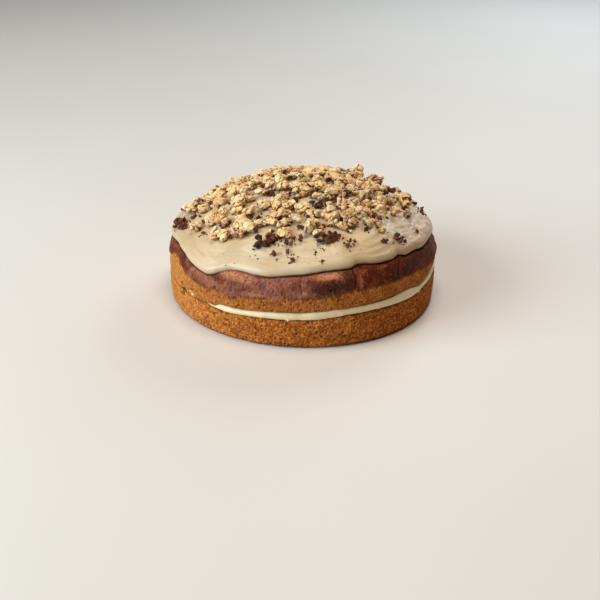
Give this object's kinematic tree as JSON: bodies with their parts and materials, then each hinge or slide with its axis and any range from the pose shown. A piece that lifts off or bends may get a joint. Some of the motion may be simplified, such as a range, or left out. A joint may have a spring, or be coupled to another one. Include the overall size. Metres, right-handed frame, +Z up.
{
  "type": "toffee cake",
  "caption": "Round sandwich cake: sponge layers with a cream filling, thick caramel icing over the domed top, chopped walnuts and dark cake crumbs.",
  "frame": {"origin": "middle of the flat base", "axes": "+Z up, front of the cake toward -Y, the thicker side of the filling toward +X"},
  "size_m": [0.2019, 0.2037, 0.0937],
  "materials": {
    "sponge": "golden brown baked sponge, open crumb",
    "filling": "smooth pale cream filling",
    "crust": "dark browned crust over golden sponge",
    "caramel_icing": "soft satin caramel icing",
    "walnut": "chopped walnut, cream flesh and tan skin"
  },
  "bodies": {
    "root": {"lower_sponge": "sponge", "cream_filling": "filling", "upper_sponge": "crust", "icing": "caramel_icing", "walnut_topping": "walnut"}
  },
  "joints": []
}
